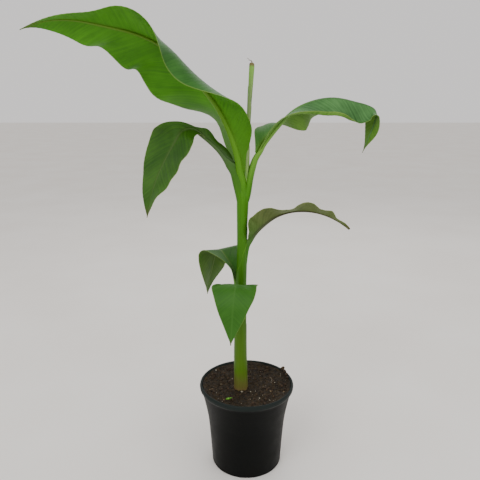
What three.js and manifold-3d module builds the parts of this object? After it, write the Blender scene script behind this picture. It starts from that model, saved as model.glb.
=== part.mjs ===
// A young banana plant in a round nursery pot. Millimetres and degrees, +Z up.
// The origin is the centre of the pot's flat underside, and -Y is the plant's front.
import * as THREE from 'three';
import { mergeVertices } from 'three/addons/utils/BufferGeometryUtils.js';
import Module from 'manifold-3d';

const wasm = await Module();
wasm.setup();

// Clear space kept between pieces that touch.
const gap = 0.3;

const pot = {
  height: 156,
  baseRadius: 62.5,
  lipRadius: 85,
  wall: 1.8,
  floor: 2.6,
  sides: 44,
  drainHoles: 8,
  drainRadius: 5,
  drainCircle: 47,
};

const soil = {
  top: 149.5,
  bump: 0.8,
  calmNear: 14,
  calmFar: 30,
};

// The stem's centre line, as even steps from the soil to the fork.
const stem = {
  fork: 508,
  x: [-10.2, -11.3, -10.5, -9.6, -8.5, -7],
  y: -10,
  diameter: [22.5, 20, 17.4, 16.4, 17.2, 21],
  sides: 14,
  steps: 16,
};

const bladeEdge = 0.6;            // half the blade's thickness away from its midrib
const ribMargin = 0.9;            // the least blade beside the midrib
const stepsAcross = 8;
const stepsAlong = 10;
const stalkSides = 9;
const stalkSteps = 9;

// Each leaf is one midrib with a half blade on each side of it.
//   foot, offset   height on the stem where it starts, and how far from the stem's centre
//   heading        compass course seen from above, 0 is +X and 90 is +Y
//   pitch          slope above level, at even steps from the foot to the tip
//   thick          stalk diameter at even steps from its foot to the blade
//   width          a half blade's width, at even steps along the blade
//   fold           slope of a half blade away from its midrib, at even steps along the blade
//   curl           how much further that slope turns on its way to the margin
//   bend           where along the blade its two pieces meet
const leaves = [
  {
    name: 'top_left', foot: 495, offset: 0, stalk: 40, blade: 435, bend: 0.5, color: 0x4c7d24,
    thick: [17, 15, 13, 11], heading: [215], pitch: [91, 79, 72, 61, 48, 42, 40, 18, 7, 7, -8, -30],
    left: {
      width: [8, 23, 43, 53, 61, 61, 56, 46, 32, 16, 0],
      fold: [75, 75, 45, 29, 10, 0, 4, 17, 50, 60, 32, 18, 12],
      curl: [0, 0, -31, -34, -53, -95, -97, -63, -45, -12, 0],
    },
    right: {
      width: [5, 42, 52, 63, 68, 66, 59, 48, 34, 18, 0],
      fold: [8, 11, 12, -18, -34, -39, -44, -42, -46, -41, -36],
      curl: [0],
    },
  },
  {
    name: 'upper_right', foot: 497, offset: 4, stalk: 75, blade: 316, bend: 0.77, color: 0x557b48,
    thick: [15, 14, 12, 9], heading: [12],
    pitch: [75, 81, 75, 69, 61, 53, 48, 47, 35, 23, 13, 5, -7, -14, -12, -24, -104, -112, -112, -111],
    left: {
      width: [5, 26, 36, 49, 57, 58, 45, 37, 27, 13, 0],
      fold: [90, 90, 30, 0, -50, -62, -50, -34, -28, -22, -26, -28, -24, -20, -18, -5, 10],
      curl: [0],
    },
    right: {
      width: [2, 18, 29, 36, 39, 39, 37, 29, 14, 13, 0],
      fold: [16, 19, 23, 20, 0, -21, -35, -45, -49, -55, -68, -76, -50, -5, 20, 14, -10],
      curl: [0],
    },
  },
  {
    name: 'middle_left', foot: 458, offset: -2, stalk: 90, blade: 255, bend: 0.4, color: 0x4a6b30,
    thick: [12, 13, 13, 10], heading: [190, 190, 195, 200, 212, 222, 224],
    pitch: [82, 82, 80, 75, 74, 65, 55, 44, 36, 36, -12, -59, -54, -58, -59, -64, -69, -74, -80],
    left: {
      width: [1, 1, 1, 1, 3, 19, 33, 42, 45, 43, 41, 33, 23, 12, 0],
      fold: [0, 0, 0, 0, -8, -21, -34, -22, -14, -10, -4, -5, -1, -3, 12, 14, 15],
      curl: [0],
    },
    right: {
      width: [6, 10, 12, 12, 12, 5, 18, 48, 49, 46, 40, 31, 22, 11, 0],
      fold: [85, 74, 57, 40, 69, 95, 95, 72, 32, 22, 16, 11, 5, 5, 6, 6, 7],
      curl: [0],
    },
  },
  {
    name: 'middle_right', foot: 358, offset: 3, stalk: 65, blade: 192, bend: 0.42, color: 0x5c6c3c,
    thick: [8, 7.5, 6.5, 5], heading: [-8], pitch: [83, 84, 80, 64, 45, 38, 21, 6, -6, -19, -30, -41],
    left: {
      width: [2, 18, 26, 31, 32, 31, 28, 22, 15, 7, 0],
      fold: [40, 10, -10, -10, -10, -5],
      curl: [0],
    },
    right: {
      width: [2, 20, 28, 32, 33, 32, 28, 23, 17, 10, 3],
      fold: [60, 40, 33, 70, 60, 55, 49, 38, 24, 19, 19, 32, 42, 42, 30, 34, 47, 26, 31, 50, 73],
      curl: [0],
    },
  },
  {
    name: 'low_left', foot: 321, offset: 2, stalk: 35, blade: 166, bend: 0.4, color: 0x4c6434,
    thick: [6.5, 6, 5, 4], heading: [140, 140, 132, 122],
    pitch: [30, 82, 84, 60, 48, 38, -65, -72, -70, -71, -77, -81],
    left: {
      width: [2, 16, 27, 35, 39, 40, 37, 31, 22, 10, 0],
      fold: [22, 36, 29, 18, 7, -6, -17, -28, -36, -39, -29],
      curl: [0],
    },
    right: {
      width: [1, 18, 30, 38, 45, 43, 28, 29, 25, 12, 0],
      fold: [32, 21, 10, 0, -2, -9, -10, 2, 14, 24, 29],
      curl: [0],
    },
  },
  {
    name: 'low_front', foot: 293, offset: 0, stalk: 45, blade: 150, bend: 0.3, color: 0x4a7530,
    thick: [6.5, 6, 5, 4], heading: [262, 262, 258, 256], pitch: [75, 68, 58, 23, -48, -75, -76, -74],
    left: {
      width: [1, 22, 33, 34, 34, 32, 26, 20, 13, 6, 0],
      fold: [16, 7, 0, -4, -4, -3, -3, -2, -2],
      curl: [0],
    },
    right: {
      width: [1, 22, 37, 42, 39, 33, 27, 21, 14, 7, 0],
      fold: [16, 4, -6, -10, -1, 3, -1, -6, -20],
      curl: [0],
    },
  },
];

// The newest leaf, still rolled up like a cigar.
const rolled = {
  foot: 497,
  offset: 5.2,
  heading: 25,
  pitch: [88, 88.3, 86.6, 86],
  length: 213,
  diameter: [6.2, 6.2, 6.2, 6.4, 7.6, 8.2],
};

const radians = THREE.MathUtils.degToRad;

// A smooth value from a list of values at even steps.
function smoothAlong(values, t) {
  const last = values.length - 1;
  if (last === 0) return values[0];
  const place = THREE.MathUtils.clamp(t, 0, 1) * last;
  const step = Math.min(Math.floor(place), last - 1);
  const before = values[Math.max(step - 1, 0)];
  const from = values[step];
  const to = values[step + 1];
  const after = values[Math.min(step + 2, last)];
  const u = place - step;
  const linear = to - before;
  const square = 2 * before - 5 * from + 4 * to - after;
  const cube = 3 * from - before - 3 * to + after;
  return 0.5 * (2 * from + linear * u + square * u * u + cube * u * u * u);
}

// The same with straight runs between the values.
function straightAlong(values, t) {
  const last = values.length - 1;
  if (last === 0) return values[0];
  const place = THREE.MathUtils.clamp(t, 0, 1) * last;
  const step = Math.min(Math.floor(place), last - 1);
  return THREE.MathUtils.lerp(values[step], values[step + 1], place - step);
}

// Moves every vertex of a three.js shape to a place of its own, and keeps it closed.
function reshape(geometry, place) {
  const position = geometry.getAttribute('position');
  const corner = new THREE.Vector3();
  for (let i = 0; i < position.count; i += 1) {
    corner.fromBufferAttribute(position, i);
    const moved = place(corner);
    position.setXYZ(i, moved.x, moved.y, moved.z);
  }
  geometry.computeVertexNormals();
  return geometry;
}

function toSolid(geometry) {
  const bare = geometry.clone();
  bare.deleteAttribute('normal');
  bare.deleteAttribute('uv');
  const merged = mergeVertices(bare, 1e-4);
  return new wasm.Manifold(new wasm.Mesh({
    numProp: 3,
    vertProperties: new Float32Array(merged.getAttribute('position').array),
    triVerts: new Uint32Array(merged.index.array),
  }));
}

// The largest piece of a solid, without crumbs that a cut leaves.
function toGeometry(solid) {
  const pieces = solid.decompose();
  pieces.sort((a, b) => b.volume() - a.volume());
  const mesh = pieces[0].getMesh();
  const geometry = new THREE.BufferGeometry();
  geometry.setAttribute('position', new THREE.BufferAttribute(mesh.vertProperties, 3));
  geometry.setIndex(new THREE.BufferAttribute(mesh.triVerts, 1));
  geometry.computeVertexNormals();
  return geometry;
}

const plant = new THREE.Group();

function addMesh(name, geometry, color, roughness) {
  const material = new THREE.MeshStandardMaterial({ color, roughness, metalness: 0 });
  const mesh = new THREE.Mesh(geometry, material);
  mesh.name = name;
  plant.add(mesh);
}

// A solid of revolution about +Z, from radius and height pairs.
function turned(profile, sides) {
  const points = profile.map(([radius, height]) => new THREE.Vector2(radius, height));
  return new THREE.LatheGeometry(points, sides).rotateX(Math.PI / 2);
}

// Pot: a flat floor, a wall that tapers and then flares below the rim, and a rolled lip.
const wallOutside = [
  [pot.baseRadius, 0],
  [pot.baseRadius + 1.2, 3],
  [pot.baseRadius + 3.8, 44],
  [pot.baseRadius + 6.1, 74],
  [pot.baseRadius + 7.8, 91],
  [pot.baseRadius + 11, 110],
  [pot.baseRadius + 14.8, 128],
  [pot.lipRadius - 4, pot.height - 12],
];

function potGeometry() {
  const lip = [
    [pot.lipRadius - 0.6, pot.height - 8],
    [pot.lipRadius, pot.height - 4],
    [pot.lipRadius - 1, pot.height - 0.8],
    [pot.lipRadius - 3, pot.height],
    [pot.lipRadius - 4.6, pot.height - 1.2],
    [pot.lipRadius - 5, pot.height - 5],
  ];
  const wallInside = wallOutside.slice(2).reverse().map(([radius, height]) => [radius - pot.wall, height]);
  const body = turned([
    [0, 0],
    ...wallOutside,
    ...lip,
    ...wallInside,
    [pot.baseRadius - 0.4, pot.floor],
    [0, pot.floor],
  ], pot.sides);
  let solid = toSolid(body);
  for (let i = 0; i < pot.drainHoles; i += 1) {
    const angle = (2 * Math.PI * (i + 0.5)) / pot.drainHoles;
    const hole = new THREE.CylinderGeometry(pot.drainRadius, pot.drainRadius, 4 * pot.floor, 12)
      .rotateX(Math.PI / 2)
      .translate(pot.drainCircle * Math.cos(angle), pot.drainCircle * Math.sin(angle), 0);
    solid = solid.subtract(toSolid(hole));
  }
  return toGeometry(solid);
}

// Soil: fills the pot to just below the rim, a little uneven, and level under the stem.
function soilGeometry() {
  const inset = pot.wall + gap;
  const side = wallOutside.slice(2, -1).map(([radius, height]) => [radius - inset, height]);
  const edge = pot.lipRadius - 4 - inset - 0.2;
  const rings = [0.86, 0.68, 0.48, 0.28, 0].map((share) => [edge * share, soil.top]);
  const body = turned([
    [0, pot.floor + gap],
    [pot.baseRadius - inset, pot.floor + gap],
    ...side,
    [edge, pot.height - 12],
    [edge, soil.top],
    ...rings,
  ], pot.sides);
  return reshape(body, (corner) => {
    if (corner.z < soil.top - 0.01) return corner;
    const fromStem = Math.hypot(corner.x - stem.x[0], corner.y - stem.y);
    const rough = THREE.MathUtils.smoothstep(fromStem, soil.calmNear, soil.calmFar);
    const wave = Math.sin(corner.x * 0.11 + 1) * Math.cos(corner.y * 0.13) + 0.5 * Math.sin(corner.y * 0.21);
    corner.z += soil.bump * rough * wave;
    return corner;
  });
}

const stemFoot = soil.top + gap;

function stemCentre(height) {
  const t = (height - stemFoot) / (stem.fork - stemFoot);
  return new THREE.Vector3(smoothAlong(stem.x, t), stem.y, height);
}

// Stem: a tall column of rolled leaf sheaths, cut flat at the soil and at the fork.
function stemGeometry(extra) {
  const column = new THREE.CylinderGeometry(1, 1, 1, stem.sides, stem.steps).rotateX(Math.PI / 2);
  return reshape(column, (corner) => {
    const t = corner.z + 0.5;
    const radius = smoothAlong(stem.diameter, t) / 2 + extra;
    const height = THREE.MathUtils.lerp(stemFoot - extra, stem.fork + extra, t);
    const centre = stemCentre(THREE.MathUtils.clamp(height, stemFoot, stem.fork));
    return new THREE.Vector3(centre.x + corner.x * radius, centre.y + corner.y * radius, height);
  });
}

// The direction of a course and slope, with the leaf's left and its upper side.
function frameAt(heading, pitch) {
  const course = new THREE.Vector3(Math.cos(heading), Math.sin(heading), 0);
  const up = new THREE.Vector3(0, 0, 1);
  return {
    forward: course.clone().multiplyScalar(Math.cos(pitch)).addScaledVector(up, Math.sin(pitch)),
    left: new THREE.Vector3(-Math.sin(heading), Math.cos(heading), 0),
    upper: course.clone().multiplyScalar(-Math.sin(pitch)).addScaledVector(up, Math.cos(pitch)),
  };
}

// Points and frames at even steps along a midrib, from its foot to its tip.
function traceMidrib(foot, offset, headings, pitches, length) {
  const steps = 120;
  const stations = [];
  const first = radians(headings[0]);
  const point = stemCentre(foot).add(new THREE.Vector3(Math.cos(first), Math.sin(first), 0).multiplyScalar(offset));
  for (let i = 0; i <= steps; i += 1) {
    const t = i / steps;
    const frame = frameAt(radians(straightAlong(headings, t)), radians(straightAlong(pitches, t)));
    if (i > 0) {
      const halfStep = length / steps / 2;
      point.addScaledVector(stations[i - 1].forward, halfStep).addScaledVector(frame.forward, halfStep);
    }
    stations.push({ point: point.clone(), ...frame });
  }
  return (t) => {
    const place = THREE.MathUtils.clamp(t, 0, 1) * steps;
    const step = Math.min(Math.floor(place), steps - 1);
    const mix = (key) => stations[step][key].clone().lerp(stations[step + 1][key], place - step);
    return { point: mix('point'), forward: mix('forward'), left: mix('left'), upper: mix('upper') };
  };
}

// A tapering round limb along a midrib, flatter on its upper side.
function limbGeometry(midrib, end, diameters, flat, extra) {
  const rod = new THREE.CylinderGeometry(1, 1, 1, stalkSides, stalkSteps);
  return reshape(rod, (corner) => {
    const t = corner.y + 0.5;
    const radius = smoothAlong(diameters, t) / 2 + extra;
    const { point, left, upper } = midrib(t * end);
    const lift = corner.z > 0 ? corner.z * flat : corner.z;
    return point.addScaledVector(left, -corner.x * radius).addScaledVector(upper, lift * radius);
  });
}

function ribRadius(leaf, s) {
  return THREE.MathUtils.lerp(leaf.thick.at(-1) / 2, 0.5, s);
}

// The direction square to a half blade, on its upper side, where it slopes by an angle.
function halfNormal(side, slope, left, upper) {
  return upper.clone().multiplyScalar(Math.cos(slope)).addScaledVector(left, -side * Math.sin(slope));
}

// A place on the blade's middle surface: s runs from base to tip, and across from -1 to 1.
function bladePlace(leaf, midrib, s, across) {
  const half = across > 0 ? leaf.right : leaf.left;
  const side = across > 0 ? -1 : 1;
  const rib = ribRadius(leaf, s);
  const reach = rib + Math.max(ribMargin, smoothAlong(half.width, s) - rib);
  const rings = stepsAcross / 2;
  const ring = Math.abs(across) * rings;
  const distance = ring <= 1 ? ring * rib : rib + ((reach - rib) * (ring - 1)) / (rings - 1);
  const fold = radians(smoothAlong(half.fold, s));
  const curl = radians(smoothAlong(half.curl, s));
  const total = leaf.stalk + leaf.blade;
  const { point, left, upper } = midrib((leaf.stalk + leaf.blade * s) / total);
  if (ring < 0.5) {
    const normal = halfNormal(1, radians(smoothAlong(leaf.left.fold, s)), left, upper)
      .add(halfNormal(-1, radians(smoothAlong(leaf.right.fold, s)), left, upper))
      .normalize();
    return { point, normal, below: 1.5 * rib };
  }
  const pieces = 6;
  for (let i = 0; i < pieces; i += 1) {
    const angle = fold + (curl * distance * (i + 0.5)) / (pieces * reach);
    point.addScaledVector(left, (side * Math.cos(angle) * distance) / pieces);
    point.addScaledVector(upper, (Math.sin(angle) * distance) / pieces);
  }
  const normal = halfNormal(side, fold + (curl * distance) / reach, left, upper);
  return { point, normal, below: bladeEdge };
}

// A closed sheet: a grid of places on its upper face, the same below, and a wall round its rim.
function sheetGeometry(across, along, place) {
  const columns = across + 1;
  const below = columns * (along + 1);
  const positions = [];
  [1, -1].forEach((face) => {
    for (let row = 0; row <= along; row += 1) {
      for (let column = 0; column <= across; column += 1) {
        positions.push(...place((2 * column) / across - 1, row / along, face));
      }
    }
  });
  const index = [];
  const rim = [];
  for (let row = 0; row < along; row += 1) {
    for (let column = 0; column < across; column += 1) {
      const a = row * columns + column;
      const b = a + 1;
      const c = b + columns;
      const d = a + columns;
      index.push(a, b, c, a, c, d, below + a, below + c, below + b, below + a, below + d, below + c);
      if (row === 0) rim.push([a, b]);
      if (row === along - 1) rim.push([c, d]);
      if (column === 0) rim.push([d, a]);
      if (column === across - 1) rim.push([b, c]);
    }
  }
  rim.forEach(([from, to]) => index.push(to, from, below + from, to, below + from, below + to));
  const geometry = new THREE.BufferGeometry();
  geometry.setAttribute('position', new THREE.Float32BufferAttribute(positions, 3));
  geometry.setIndex(index);
  return geometry;
}

// Part of a blade as a thin closed solid, thicker under the midrib.
function bladeGeometry(leaf, midrib, from, to) {
  return sheetGeometry(stepsAcross, stepsAlong, (across, along, face) => {
    const { point, normal, below } = bladePlace(leaf, midrib, THREE.MathUtils.lerp(from, to, along), across);
    return point.addScaledVector(normal, face > 0 ? bladeEdge : -below);
  });
}

addMesh('pot', potGeometry(), 0x1a1c18, 0.6);
addMesh('soil', soilGeometry(), 0x2e2619, 0.95);
addMesh('pseudostem', stemGeometry(0), 0x4d7b1f, 0.5);

// Limbs that share the crown are cut back by those before them, with the gap between.
let taken = toSolid(stemGeometry(gap));

function addLimb(name, shape, color) {
  addMesh(name, toGeometry(toSolid(shape(0)).subtract(taken)), color, 0.5);
  taken = taken.add(toSolid(shape(gap)));
}

const bladeParts = [];
leaves.forEach((leaf) => {
  const total = leaf.stalk + leaf.blade;
  const midrib = traceMidrib(leaf.foot, leaf.offset, leaf.heading, leaf.pitch, total);
  const end = (leaf.stalk - gap) / total;
  addLimb(`${leaf.name}_stalk`, (extra) => limbGeometry(midrib, end, leaf.thick, 0.6, extra), leaf.color);
  const cut = gap / 2 / leaf.blade;
  bladeParts.push([`${leaf.name}_blade_inner`, bladeGeometry(leaf, midrib, 0, leaf.bend - cut), leaf.color]);
  bladeParts.push([`${leaf.name}_blade_outer`, bladeGeometry(leaf, midrib, leaf.bend + cut, 1), leaf.color]);
});

const rolledLine = traceMidrib(rolled.foot, rolled.offset, [rolled.heading], rolled.pitch, rolled.length);
addLimb('rolled_leaf', (extra) => limbGeometry(rolledLine, 1, rolled.diameter, 1, extra), 0x8aa06c);
bladeParts.forEach(([name, geometry, color]) => {
  addMesh(name, toGeometry(toSolid(geometry).subtract(taken)), color, 0.5);
});

export default plant;
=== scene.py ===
# Young banana plant in a nursery pot: looks only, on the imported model.
import math
from functools import partial
import bmesh
import bpy
import numpy as np
from mathutils import Matrix, Vector, noise


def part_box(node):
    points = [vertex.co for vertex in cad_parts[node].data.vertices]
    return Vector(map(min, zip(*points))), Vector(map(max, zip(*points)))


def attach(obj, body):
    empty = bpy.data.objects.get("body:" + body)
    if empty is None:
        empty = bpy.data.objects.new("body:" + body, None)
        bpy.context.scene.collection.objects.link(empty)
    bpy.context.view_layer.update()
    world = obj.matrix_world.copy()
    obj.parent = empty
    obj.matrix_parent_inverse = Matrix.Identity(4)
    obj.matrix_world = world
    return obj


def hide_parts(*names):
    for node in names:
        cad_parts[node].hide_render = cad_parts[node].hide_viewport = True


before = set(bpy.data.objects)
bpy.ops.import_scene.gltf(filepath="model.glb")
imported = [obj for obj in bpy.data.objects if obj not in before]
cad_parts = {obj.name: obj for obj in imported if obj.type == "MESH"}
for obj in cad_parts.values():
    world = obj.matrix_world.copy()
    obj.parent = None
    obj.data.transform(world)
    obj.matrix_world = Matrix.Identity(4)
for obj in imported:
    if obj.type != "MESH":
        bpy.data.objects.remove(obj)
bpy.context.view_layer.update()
mm = 0.001   # the sizes below are in mm, and meshes are made in metres
rng = np.random.default_rng(17)   # every random choice comes from this one seed


def toLinear(hexColour):
    channels = [int(hexColour[i:i + 2], 16) / 255 for i in (1, 3, 5)]
    return (*[c / 12.92 if c <= 0.04045 else ((c + 0.055) / 1.055) ** 2.4 for c in channels], 1.0)


def setStops(ramp, stops):
    # each stop is a position with a hex colour or a grey level
    while len(ramp.elements) < len(stops):
        ramp.elements.new(0.5)
    for element, (position, shade) in zip(ramp.elements, stops):
        element.position = position
        element.color = toLinear(shade) if isinstance(shade, str) else (shade, shade, shade, 1)


def setInputs(node, inputs):
    # inputs: socket name or number -> a value, an output to link, or a node whose result is linked
    for key, value in inputs.items():
        if isinstance(value, bpy.types.Node):
            value = next(output for output in value.outputs if output.enabled)
        if isinstance(value, bpy.types.NodeSocket):
            node.id_data.links.new(value, node.inputs[key])
        else:
            node.inputs[key].default_value = value


def addNode(tree, kind, inputs=None, **settings):
    # on a colour Mix, input 0 is the share, and 6 and 7 are the two colours
    node = tree.nodes.new("ShaderNode" + kind)
    for key, value in settings.items():
        if key == "stops":
            setStops(node.color_ramp, value)
        else:
            setattr(node, key, value)
    setInputs(node, inputs or {})
    return node


def newMaterial(name, surface):
    # gives the material, addNode for its own nodes, and its shader
    material = bpy.data.materials.new(name)
    material.use_nodes = True
    shader = material.node_tree.nodes["Principled BSDF"]
    setInputs(shader, surface)
    return material, partial(addNode, material.node_tree), shader


def grainScale(size):
    # a noise or cell pattern's scale for grains about this many mm across
    return 1000 / size


def bandScale(spacing):
    # a wave pattern's scale for bands this many mm apart
    return 100 * math.pi / spacing


def smoothAlong(values, t):
    # a smooth value through evenly spaced values
    v = np.asarray(values, float)
    last = len(v) - 1
    t = np.asarray(t, float)
    if last == 0:
        return np.full_like(t, v[0])
    place = np.clip(t, 0, 1) * last
    i = np.minimum(place.astype(int), last - 1)
    u = place - i
    a, b, c, d = v[np.maximum(i - 1, 0)], v[i], v[i + 1], v[np.minimum(i + 2, last)]
    return 0.5 * (2 * b + (c - a) * u + (2 * a - 5 * b + 4 * c - d) * u ** 2
                  + (3 * b - a - 3 * c + d) * u ** 3)


def straightAlong(values, t):
    return np.interp(t, np.linspace(0, 1, len(values)), values)


def smoothStep(x):
    x = np.clip(x, 0, 1)
    return x * x * (3 - 2 * x)


def makeMesh(name, points, faces, materials, faceMaterials=None, uv=None, attributes=None, sharp=40):
    mesh = bpy.data.meshes.new(name)
    mesh.from_pydata((np.asarray(points) * mm).tolist(), [], [list(map(int, f)) for f in faces])
    for material in materials:
        mesh.materials.append(material)
    if faceMaterials is not None:
        mesh.polygons.foreach_set("material_index", np.asarray(faceMaterials, np.int32))
    if uv is not None:
        corners = np.empty(len(mesh.loops), np.int32)
        mesh.loops.foreach_get("vertex_index", corners)
        layer = mesh.uv_layers.new(name="surfacePlace")
        layer.data.foreach_set("uv", np.asarray(uv, np.float32)[corners].ravel())
    for key, values in (attributes or {}).items():
        layer = mesh.attributes.new(key, "FLOAT", "POINT")
        layer.data.foreach_set("value", np.asarray(values, np.float32).ravel())
    mesh.polygons.foreach_set("use_smooth", np.ones(len(mesh.polygons), bool))
    mesh.set_sharp_from_angle(angle=math.radians(sharp))
    mesh.update()
    piece = bpy.data.objects.new(name, mesh)
    bpy.context.scene.collection.objects.link(piece)
    return piece


def applyModifiers(piece):
    evaluated = piece.evaluated_get(bpy.context.evaluated_depsgraph_get())
    mesh = bpy.data.meshes.new_from_object(evaluated)
    piece.modifiers.clear()
    piece.data = mesh


def gridFaces(rows, columns, start=0, closed=False, flip=False):
    # quads over a grid of rows x columns points, optionally closed round the columns
    r, c = np.meshgrid(np.arange(rows - 1), np.arange(columns if closed else columns - 1), indexing="ij")
    a = r * columns + c
    b = r * columns + (c + 1) % columns
    quads = np.stack([a, b, b + columns, a + columns], -1).reshape(-1, 4) + start
    return quads[:, ::-1] if flip else quads


def cappedFaces(rows, sides, flip=False):
    # the faces of a closed tube of rings, with one flat face at each end
    firstRing = list(range(sides))
    lastRing = [(rows - 1) * sides + i for i in range(sides)]
    faces = [list(f) for f in gridFaces(rows, sides, closed=True, flip=flip)]
    faces.append(firstRing if flip else firstRing[::-1])
    faces.append(lastRing[::-1] if flip else lastRing)
    return faces


pot = {
    "height": 156, "baseRadius": 62.5, "lipRadius": 85, "lipHeight": 12, "wall": 1.8, "floor": 2.6,
    "sides": 176, "drainHoles": 8, "drainRadius": 5, "drainCircle": 47, "specular": 0.1,
    # lip: the lip's lighter, bluer colour is a painted reflection of the sky
    "body": "#040605", "bodyLight": "#070908", "dust": "#0a0a08", "scuff": "#11110d", "lip": "#1c2321",
}


def potProfile():
    base, lip, top, wall = pot["baseRadius"], pot["lipRadius"], pot["height"], pot["wall"]
    underLip = top - pot["lipHeight"]
    # the wall is nearly straight below and flares under the lip
    flare = [(base + 1.2, 3), (base + 3.8, 44), (base + 6.1, 74), (base + 7.8, 91), (base + 11, 110),
             (base + 14.8, 128), (lip - 4, underLip)]
    radii, heights = np.array(flare).T
    fine = np.linspace(3, underLip, 46)
    wallCurve = np.interp(fine, heights, radii)
    for _ in range(3):   # rounds the corners between the straight runs
        wallCurve[1:-1] = (wallCurve[:-2] + 2 * wallCurve[1:-1] + wallCurve[2:]) / 4
    foot = [(base + 1.2 - 2.2 * (1 - math.sin(a)), 2.4 - 2.4 * math.cos(a)) for a in np.linspace(0, 1.5, 6)]
    # the lip: a step under it, a rolled bead, and a small inner ledge
    bead = [(lip - 1.6, top - 8.6), (lip - 0.5, top - 7.6), (lip - 0.1, top - 5.4), (lip, top - 3.4),
            (lip - 0.3, top - 1.8), (lip - 1.1, top - 0.6), (lip - 2.3, top), (lip - 3.4, top - 0.2),
            (lip - 4.3, top - 1.0), (lip - 4.8, top - 2.4), (lip - 5, top - 5), (lip - 5.3, top - 8)]
    inside = [(r - wall, z) for r, z in zip(wallCurve[::-3], fine[::-3])]
    underside = [(0, 0.5), (18, 0.5), (19, 0), (base - 6, 0)]
    innerFloor = [(base - 0.4, pot["floor"]), (base - 12, pot["floor"]), (0, pot["floor"])]
    return underside + foot + list(zip(wallCurve, fine)) + bead + inside + innerFloor


def potPlastic():
    # polypropylene, injection moulded: near black with a soft sheen, faint mould rings and dusty scuffs
    material, add, shader = newMaterial(
        "mouldedPolypropylene", {"IOR": 1.49, "Specular IOR Level": pot["specular"]})
    place = add("TexCoord").outputs["Object"]
    height = add("SeparateXYZ", {0: place}).outputs[2]
    # dust lies in fields about 110 mm across, broken into spots about 17 mm across
    dustSpots = add("TexNoise",
                    {"Vector": place, "Scale": grainScale(16.67), "Detail": 6, "Roughness": 0.7})
    dustFields = add("TexNoise", {"Vector": place, "Scale": grainScale(111.1), "Detail": 3})
    dust = add("Math", {0: dustSpots, 1: dustFields}, operation="MULTIPLY")
    dustShare = add("ValToRGB", {"Fac": dust}, stops=[(0.24, 0.0), (0.42, 1.0)])
    plain = add("ValToRGB", {"Fac": dustFields}, stops=[(0.3, pot["body"]), (0.7, pot["bodyLight"])])
    dusty = add("Mix", {0: dustShare, 6: plain, 7: toLinear(pot["dust"])}, data_type="RGBA")
    # scuffs run up and down the wall, about 1 mm wide, drawn 2 mm wide so that they show
    stretched = add("Mapping", {"Vector": place, "Scale": (1, 1, 0.08)})
    scuffNoise = add("TexNoise", {"Vector": stretched, "Scale": grainScale(2.083), "Detail": 3})
    scuffs = add("ValToRGB", {"Fac": scuffNoise}, stops=[(0.62, 0.0), (0.72, 1.0)])
    scuffShare = add("Math", {0: scuffs, 1: 0.35}, operation="MULTIPLY")
    scuffed = add("Mix", {0: scuffShare, 6: dusty, 7: toLinear(pot["scuff"])}, data_type="RGBA")
    # the lip is painted a little lighter and bluer: a painted reflection of the sky on the rolled rim
    lipFoot = pot["height"] - pot["lipHeight"]
    lipReflectionShare = add("MapRange", {0: height, 1: lipFoot * mm, 2: (lipFoot + 6) * mm})
    tinted = add("Mix", {0: lipReflectionShare, 6: scuffed, 7: toLinear(pot["lip"])}, data_type="RGBA")
    roughness = add("MapRange", {0: dust, 1: 0.15, 2: 0.45, 3: 0.42, 4: 0.62})
    # mould rings about 1.5 mm apart, drawn about 4 mm apart so that they show
    rings = add("TexWave",
                {"Vector": place, "Scale": bandScale(3.977), "Distortion": 0.3}, bands_direction="Z")
    grain = add("TexNoise", {"Vector": place, "Scale": grainScale(1.111), "Detail": 2})
    relief = add("Math", {0: rings.outputs[1], 1: 0.25, 2: grain}, operation="MULTIPLY_ADD")
    bump = add("Bump", {"Height": relief, "Distance": 0.3 * mm, "Strength": 0.35})
    setInputs(shader, {"Base Color": tinted, "Roughness": roughness, "Normal": bump})
    return material


def drainCutter():
    # one rod for each drain hole, round a circle near the edge of the pot's floor
    cutter = bmesh.new()
    radius, circle = pot["drainRadius"] * mm, pot["drainCircle"] * mm
    for i in range(pot["drainHoles"]):
        angle = 2 * math.pi * (i + 0.5) / pot["drainHoles"]
        place = Matrix.Translation((circle * math.cos(angle), circle * math.sin(angle), 0))
        bmesh.ops.create_cone(cutter, cap_ends=True, segments=28, radius1=radius, radius2=radius,
                              depth=12 * mm, matrix=place)
    mesh = bpy.data.meshes.new("drainCutter")
    cutter.to_mesh(mesh)
    cutter.free()
    rods = bpy.data.objects.new("drainCutter", mesh)
    bpy.context.scene.collection.objects.link(rods)
    return rods


def makePot():
    profile = np.array(potProfile())
    angles = np.linspace(0, 2 * np.pi, pot["sides"], endpoint=False)
    rings = profile[1:-1]
    points = np.stack([rings[:, :1] * np.cos(angles), rings[:, :1] * np.sin(angles),
                       np.repeat(rings[:, 1:], len(angles), 1)], -1).reshape(-1, 3)
    low, high = len(points), len(points) + 1
    points = np.vstack([points, [0, 0, profile[0, 1]], [0, 0, profile[-1, 1]]])
    faces = [list(f) for f in gridFaces(len(rings), len(angles), closed=True)]
    lastRing = (len(rings) - 1) * len(angles)
    for i in range(len(angles)):
        j = (i + 1) % len(angles)
        faces.append([low, j, i])
        faces.append([high, lastRing + i, lastRing + j])
    piece = makeMesh("potBody", points, faces, [potPlastic()])
    rods = drainCutter()
    cut = piece.modifiers.new("drainHoles", "BOOLEAN")
    cut.object, cut.operation, cut.solver = rods, "DIFFERENCE", "EXACT"
    applyModifiers(piece)
    bpy.data.objects.remove(rods)
    piece.data.set_sharp_from_angle(angle=math.radians(40))
    return piece


potBody = makePot()
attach(potBody, "root")
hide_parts("pot")
print("pot:", len(potBody.data.polygons), "faces")


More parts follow.
